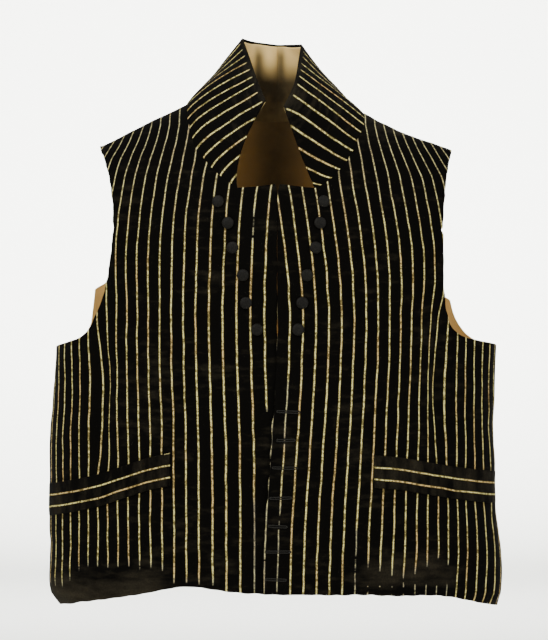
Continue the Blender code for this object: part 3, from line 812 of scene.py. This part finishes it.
def collar_half(side, end_inset=0.0, low_inset=0.0, top_inset=0.0):
    """Points up one half of the collar, and its stripe values."""
    seam_line = neck_line(side)
    steps = np.linspace(0, 1, COLLAR_STEPS + 1)
    share = end_inset + (1 - end_inset) * steps
    base = np.stack([np.interp(share, steps, seam_line[:, axis]) for axis in range(3)], axis=1)
    edge = np.array(COLLAR_EDGE[side], float)
    corner = int(np.argmax(edge[:, 0] == COLLAR_CORNER))
    before, after = edge[: corner + 1], edge[corner:]
    front_part = np.stack([eased(share, before[:, 0], before[:, k]) for k in (1, 2, 3)], axis=1)
    back_part = np.stack([eased(share, after[:, 0], after[:, k]) for k in (1, 2, 3)], axis=1)
    high = np.where(share[:, None] <= COLLAR_CORNER, front_part, back_part)
    high[:, 0] *= SIGN[side]
    inward = np.stack([-base[:, 0], COLLAR_AXIS - base[:, 1], np.zeros(len(base))], axis=1)
    base = base + inward / np.linalg.norm(inward, axis=1, keepdims=True) * COLLAR_INSIDE
    climb = high - base
    base = base - climb / np.linalg.norm(climb, axis=1, keepdims=True) * COLLAR_TUCKED
    up = (low_inset + (1 - low_inset - top_inset) * np.linspace(0, 1, COLLAR_UP + 1))[None, :, None]
    points = base[:, None] + (high - base)[:, None] * up
    bow = np.array(COLLAR_BOW[side], float)
    full = np.interp(share, bow[:, 0], bow[:, 1])[:, None]
    points[..., 0] += SIGN[side] * full * np.sin(math.pi * np.maximum(up[..., 0], 0) ** 0.8)
    seam, top = np.array(COLLAR_SEAM_STRIPES, float), np.array(COLLAR_TOP_STRIPES[side], float)
    low_number = np.interp(share, seam[:, 0], seam[:, 1])[:, None]
    top_number = np.interp(share, top[:, 0], top[:, 1])[:, None]
    number = low_number + (top_number - low_number) * up[..., 0]
    near_end = COLLAR_END_SHIFT[side] * np.exp(-share / 0.12)[:, None]
    number = number + near_end * np.sin(math.pi * np.clip(1.3 * up[..., 0], 0, 1) ** 0.6)
    height = np.linalg.norm(points - points[:, :1], axis=-1) + 300 * (side == "left") + 700
    kept = np.where(up[..., 0] > 0.97, 0.0, 1.0) + 0 * number
    return points, np.stack([number, height, kept], axis=-1)


def whole_collar(**insets):
    """Points and stripe values of the whole collar, and the way out of it, from right to left."""
    right, left = (collar_half(side, **insets) for side in ("right", "left"))
    points = np.concatenate([right[0], left[0][::-1][1:]])
    values = np.concatenate([right[1], left[1][::-1][1:]])
    normals = np.cross(np.gradient(points, axis=0), np.gradient(points, axis=1))
    normals /= np.maximum(np.linalg.norm(normals, axis=-1, keepdims=True), 1e-9)
    if np.sum(normals[COLLAR_STEPS, :, 1]) < 0:
        normals = -normals
    return points, values, normals


points, values, normals = whole_collar()
length = np.arange(len(points))[:, None] * 2.3
rise = np.linspace(0, 1, COLLAR_UP + 1)[None, :]
swell = waves(41, length, rise * 70, 60, 0.5) * np.sin(rise * math.pi)
wear = np.stack([0.25 * rise**6 + 0 * length, 0 * length + 0 * rise, 0 * length + 0 * rise], axis=-1)
collar = grid_sheet("velvet_collar", points + normals * swell[..., None], {"stripe": values, "wear": wear})
outward(collar, normals.reshape(-1, 3))
give_wall(collar, COLLAR_WALL, (velvet,), 0.5)
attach(collar, "root")
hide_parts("collar")

FACING_WALL = 1.0
FACING_RIDGE, FACING_FOLD = -7.5, 24.0  # where one soft fold stands from the centre, and the next
points, _, normals = whole_collar(end_inset=0.014, low_inset=-0.02, top_inset=0.022)
across = points[..., 0] - FACING_RIDGE
fold = 1.3 * (1 + np.cos(2 * math.pi * across / FACING_FOLD)) * np.clip((40 - np.abs(across)) / 20, 0, 1)
fold = fold * (points[..., 1] > 120) * np.sin(np.clip((points[..., 2] - 470) / 60, 0, 1) * math.pi / 2) ** 2
lean = normals * (COLLAR_WALL + 0.35 - swell + fold)[..., None]
# Painted shade on the facing: darker lower down inside the back of the collar, and in the valleys between
# its soft folds.
fall = np.clip((527 - points[..., 2]) / 30, 0, 1)
painted_shade = fall**2 * (3 - 2 * fall) * np.clip((points[..., 1] - 60) / 50, 0, 1)
valley = 0.5 - 0.5 * np.cos(2 * math.pi * across / FACING_FOLD)
valley *= np.clip((34 - np.abs(across)) / 20, 0, 1)
painted_shade = painted_shade + (1 - painted_shade) * 0.85 * valley**1.5 * np.clip((540 - points[..., 2]) / 16, 0, 1)
painted_shade = np.stack([painted_shade, 0 * painted_shade, 0 * painted_shade], axis=-1)
facing = grid_sheet("collar_facing", points - lean, {"painted_shade": painted_shade})
outward(facing, normals.reshape(-1, 3))
facing_cotton = cotton_look("pale facing cotton", (0.84, 0.61, 0.24), (0.66, 0.46, 0.16))
give_wall(facing, FACING_WALL, (facing_cotton,), 0.4)
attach(facing, "root")
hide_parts("collar_lining")

# ---- pocket welts ----
# Each pocket is a slit under a narrow welt of the velvet, cut with its stripes lengthwise and
# sewn to the front at both ends.
WELT_WALL = 1.7
WELT_DEPTH = 31.5
WELT_STRIPES = 11.6  # from one lengthwise stripe to the next
WELT_END = 0.955  # share of the way to the side seam where a welt stops
WELT_TOPS = {
    "right": ((102, 134), (120, 130), (150, 120), (172, 112), (196, 106), (225, 100)),
    "left": ((91.5, 132), (113, 130), (135, 126), (155, 122), (176, 118), (215, 112)),
}
for side, top in WELT_TOPS.items():
    table = np.array(top, float)
    first, last = (float(share_of(FRONT, side, *end)) for end in (top[0], top[-1]))
    share = np.linspace(first, min(last, WELT_END), 97)
    out = half_width(side, top[0][1]) * np.interp(share, FRONT[0], FRONT[1])
    line = eased(out, table[:, 0], table[:, 1])
    drop = np.linspace(0, 1, 25)
    height = line[None, :] - WELT_DEPTH * drop[:, None]
    width = half_width(side, height) * np.interp(share, FRONT[0], FRONT[1])[None, :]
    level = level_of(side, width, height)
    points, normals = panel_surface(FRONT, side, np.broadcast_to(share, height.shape), level)
    lift = WELT_WALL + 0.35 + np.interp(share, (0.6, 0.85, 0.96), (0.1, 0.4, -1.0))[None, :]
    points = points + normals * lift[..., None]
    number = (line[None, :] - height) / WELT_STRIPES
    kept = np.where(number < 0.4, 0.0, 1.0)
    if side == "right":
        kept = np.where((number < 0.4) & (out[None, :] < 107), 0.8, kept)
    kept = np.where(number > 2.45, 0.0, kept)
    values = np.stack([number, out[None, :] + 0 * number + 900, kept], axis=-1)
    wear = np.stack([0.2 + 0 * number, 0 * number, 0 * number], axis=-1)
    welt = grid_sheet("pocket_welt_cloth_" + side, points, {"stripe": values, "wear": wear})
    outward(welt, normals.reshape(-1, 3))
    give_wall(welt, WELT_WALL, (velvet, lining), 0.6)
    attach(welt, "root")
    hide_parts("pocket_welt_" + side)

# ---- buttons ----
# Small wooden moulds covered with the plain dark velvet, each sewn on through the back of its
# cover, with a slight rim where the cover is drawn tight.
BUTTONS = (
    (374.0, 56.5, 44.0), (353.5, 47.2, 40.4), (330.0, 42.8, 36.2), (303.5, 32.8, 28.0),
    (277.2, 30.0, 23.4), (251.8, 19.5, 19.5),
)
BUTTON_PROFILE = (
    (0.0, 2.9), (2.4, 2.85), (4.2, 2.65), (5.3, 2.2), (5.9, 1.5), (5.9, 0.9), (5.3, 0.4),
    (4.2, 0.15), (0.0, 0.1),
)

COVER_DARK, COVER_WORN = (0.0020, 0.0018, 0.0014), (0.0085, 0.0075, 0.0055)
button_look, nodes, links, shader = cloth_look("button cloth")
tree = button_look.node_tree
where = object_place(tree)
grain = noise(tree, where, 900.0, 3.0, 0.7)
cover = mixed(tree, ranged(tree, grain, 0.35, 0.75), COVER_DARK, COVER_WORN)
links.new(cover, shader.inputs["Base Color"])
surface(shader, ("Roughness", 0.55), ("Specular IOR Level", 0.08))
raised(tree, shader, grain, 0.5, 0.3)


def spot_on_front(side, out, height):
    """Point on a front, and the ways across, up and out of the cloth there."""
    share = float(share_of(FRONT, side, out, min(max(height, 0), CHEST)))
    level = float(level_of(side, abs(out), height))
    point, normal = panel_surface(FRONT, side, np.array([[share]]), np.array([[level]]))
    above, _ = panel_surface(FRONT, side, np.array([[share]]), np.array([[level + 0.01]]))
    point, normal, up = point[0, 0], normal[0, 0], above[0, 0] - point[0, 0]
    up = up - normal * np.dot(up, normal)
    up /= np.linalg.norm(up)
    return point, np.cross(up, normal), up, normal


for number, (height, right_out, left_out) in enumerate(BUTTONS, 1):
    for side, out in (("right", right_out), ("left", left_out)):
        point, across_way, up_way, normal = spot_on_front(side, out, height)
        mesh = bmesh.new()
        verts = [mesh.verts.new((r * MM, 0, z * MM)) for r, z in BUTTON_PROFILE]
        for a, b in zip(verts[:-1], verts[1:]):
            mesh.edges.new((a, b))
        bmesh.ops.spin(
            mesh, geom=mesh.verts[:] + mesh.edges[:], cent=(0, 0, 0), axis=(0, 0, 1),
            angle=2 * math.pi, steps=24, use_merge=True,
        )
        bmesh.ops.remove_doubles(mesh, verts=mesh.verts, dist=SAME_POINT)
        bmesh.ops.recalc_face_normals(mesh, faces=mesh.faces)
        turn = Matrix([Vector(across_way), Vector(up_way), Vector(normal)]).transposed().to_4x4()
        centre = Vector(placed(point + normal * 0.35))
        bmesh.ops.transform(mesh, matrix=Matrix.Translation(centre) @ turn, verts=mesh.verts)
        button = finished(f"covered_button_{side}_{number}", mesh)
        button.data.materials.append(button_look)
        button.data.shade_smooth()
        dome = button.modifiers.new("smooth", "SUBSURF")
        dome.levels = dome.render_levels = 1
        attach(button, "root")
        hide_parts(f"button_{side}_{number}")

# ---- buttonholes ----
# Seven worked buttonholes close the lower left front, each a slit with a raised lip of thick
# dark silk round it.
SILK_DARK, SILK_LIGHT = (0.002, 0.0018, 0.0012), (0.010, 0.0088, 0.006)
SILK_RADIUS, SILK_LIFT = 0.55, 0.1
thread_look, nodes, links, shader = cloth_look("buttonhole silk")
tree = thread_look.node_tree
where = object_place(tree)
twist = noise(tree, where, 1400.0, 2.0, 0.6)
silk = mixed(tree, ranged(tree, twist, 0.35, 0.7), SILK_DARK, SILK_LIGHT)
links.new(silk, shader.inputs["Base Color"])
surface(shader, ("Roughness", 0.55), ("Specular IOR Level", 0.15))
raised(tree, shader, twist, 0.6, 0.3)


def thread(name, side, path):
    """A closed loop of thick sewn silk lying on a front, along points given as out and height."""
    curve = bpy.data.curves.new(name, "CURVE")
    curve.dimensions = "3D"
    curve.bevel_depth = SILK_RADIUS * MM
    curve.bevel_resolution = 2
    curve.use_fill_caps = True
    line = curve.splines.new("NURBS")
    line.points.add(len(path) - 1)
    for spot, (out, height) in zip(line.points, path):
        point, _, _, normal = spot_on_front(side, out, height)
        spot.co = (*placed(point + normal * SILK_LIFT), 1)
    line.use_cyclic_u = True
    line.order_u = 4
    line.resolution_u = 4
    holder = bpy.data.objects.new(name, curve)
    bpy.context.collection.objects.link(holder)
    bpy.context.view_layer.update()
    data = bpy.data.meshes.new_from_object(holder.evaluated_get(bpy.context.evaluated_depsgraph_get()))
    bpy.data.objects.remove(holder)
    bpy.data.curves.remove(curve)
    data.name = name
    data.materials.clear()
    data.materials.append(thread_look)
    data.shade_smooth()
    piece = bpy.data.objects.new(name, data)
    bpy.context.collection.objects.link(piece)
    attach(piece, "root")
    return piece


# how far in each starts, how long it is and how much it slants, from the top
BUTTONHOLE_RUNS = (
    (3.5, 20.5, -0.8), (5.0, 16.0, 0.4), (2.5, 22.0, -0.3), (3.0, 19.0, 0.5), (3.5, 16.5, -0.6),
    (2.0, 23.0, 0.3), (3.0, 18.0, -0.5),
)
edge_line = np.array(FRONT_ROWS["left"][1:])
for number, (height, (inset, run, slant)) in enumerate(zip(BUTTONHOLES, BUTTONHOLE_RUNS), 1):
    edge = float(np.interp(height, edge_line[:, 1], edge_line[:, 0]))
    start, stop, low = edge + inset, edge + inset + run, height + slant
    ring = [
        (start, height + 0.9), (stop, low + 1.0), (stop + 1.2, low), (stop, low - 1.0),
        (start, height - 0.9), (start - 0.8, height),
    ]
    path = []
    for a, b in zip(ring, ring[1:] + ring[:1]):
        for part in np.linspace(0, 1, 4)[:-1]:
            path.append((a[0] + (b[0] - a[0]) * part, a[1] + (b[1] - a[1]) * part))
    hole = thread(f"buttonhole_{number}", "left", path)

# ---- floor, backdrop, lights and camera ----
# A pale paper sweep under and behind the waistcoat, lit softly from above and both sides.
FLOOR_HEIGHT = -0.62
SWEEP_SIDE = 4.2
SWEEP = (  # how far behind the waistcoat, and above the floor
    (-4.2, 0.0), (2.4, 0.0), (2.9, 0.03), (3.4, 0.15), (3.8, 0.42), (4.0, 0.75), (4.05, 1.05),
    (4.06, 1.26),
)
mesh = bmesh.new()
verts = [mesh.verts.new((-SWEEP_SIDE, y, FLOOR_HEIGHT + z)) for y, z in SWEEP]
edges = [mesh.edges.new(pair) for pair in zip(verts[:-1], verts[1:])]
made = bmesh.ops.extrude_edge_only(mesh, edges=edges)
far_side = [made_part for made_part in made["geom"] if isinstance(made_part, bmesh.types.BMVert)]
bmesh.ops.translate(mesh, vec=(2 * SWEEP_SIDE, 0, 0), verts=far_side)
bmesh.ops.recalc_face_normals(mesh, faces=mesh.faces)
if sum(face.normal.z for face in mesh.faces) < 0:
    bmesh.ops.reverse_faces(mesh, faces=mesh.faces)
sweep = finished("paper_sweep", mesh)
sweep.data.shade_smooth()
curve = sweep.modifiers.new("smooth", "SUBSURF")
curve.levels = curve.render_levels = 3
paper, nodes, links, shader = cloth_look("paper")
tree = paper.node_tree
tooth = noise(tree, object_place(tree), 60.0, 3.0)
links.new(mixed(tree, tooth, (0.92, 0.93, 0.87), (0.94, 0.95, 0.89)), shader.inputs["Base Color"])
shader.inputs["Roughness"].default_value = 0.95
sweep.data.materials.append(paper)


def lamp(name, place, aim, size, power, spread=180):
    light = bpy.data.lights.new(name, "AREA")
    light.shape = "RECTANGLE"
    light.size, light.size_y = size
    light.energy = power
    light.spread = math.radians(spread)
    holder = bpy.data.objects.new(name, light)
    holder.location = place
    holder.rotation_euler = (Vector(aim) - Vector(place)).to_track_quat("-Z", "Y").to_euler()
    bpy.context.collection.objects.link(holder)


lamp("key_light", (-1.1, -1.5, 1.3), (0, 0, -0.2), (1.2, 1.2), 58)
lamp("fill_light", (1.3, -1.5, 0.7), (0, 0, -0.2), (1.4, 1.4), 31)
lamp("top_light", (0, 0.3, 1.6), (0, 0.05, -0.2), (1.4, 1.0), 12)
lamp("backdrop_light", (0, 2.2, 1.9), (0, 4.0, 0.1), (4.0, 0.4), 185, 90)
lamp("floor_light", (0, 1.0, 1.0), (0, 1.9, -0.62), (3.0, 0.4), 45, 90)
world = bpy.data.worlds.new("studio")
bpy.context.scene.world = world
world.use_nodes = True
world.node_tree.nodes["Background"].inputs[0].default_value = (1.0, 1.0, 1.0, 1)
world.node_tree.nodes["Background"].inputs[1].default_value = 0.75

CAMERA_DISTANCE = 3.2
CAMERA_HEIGHT = 261
MM_PER_PIXEL = 0.95
FRAME_WIDTH, FRAME_HEIGHT = 548, 640
CENTRE_FRONT = 277.5  # pixels from the frame's left edge
camera = bpy.data.cameras.new("camera")
camera.sensor_width = 36
camera.lens = camera.sensor_width * CAMERA_DISTANCE / (FRAME_HEIGHT * MM_PER_PIXEL * MM)
camera.shift_x = -(CENTRE_FRONT - FRAME_WIDTH / 2) / FRAME_HEIGHT
holder = bpy.data.objects.new("camera", camera)
eye = (0, -SHOULDER_DEPTH * MM - CAMERA_DISTANCE, (CAMERA_HEIGHT - SHOULDER_HEIGHT) * MM)
holder.location = eye
holder.rotation_euler = (math.pi / 2, 0, 0)
bpy.context.collection.objects.link(holder)
bpy.context.scene.camera = holder
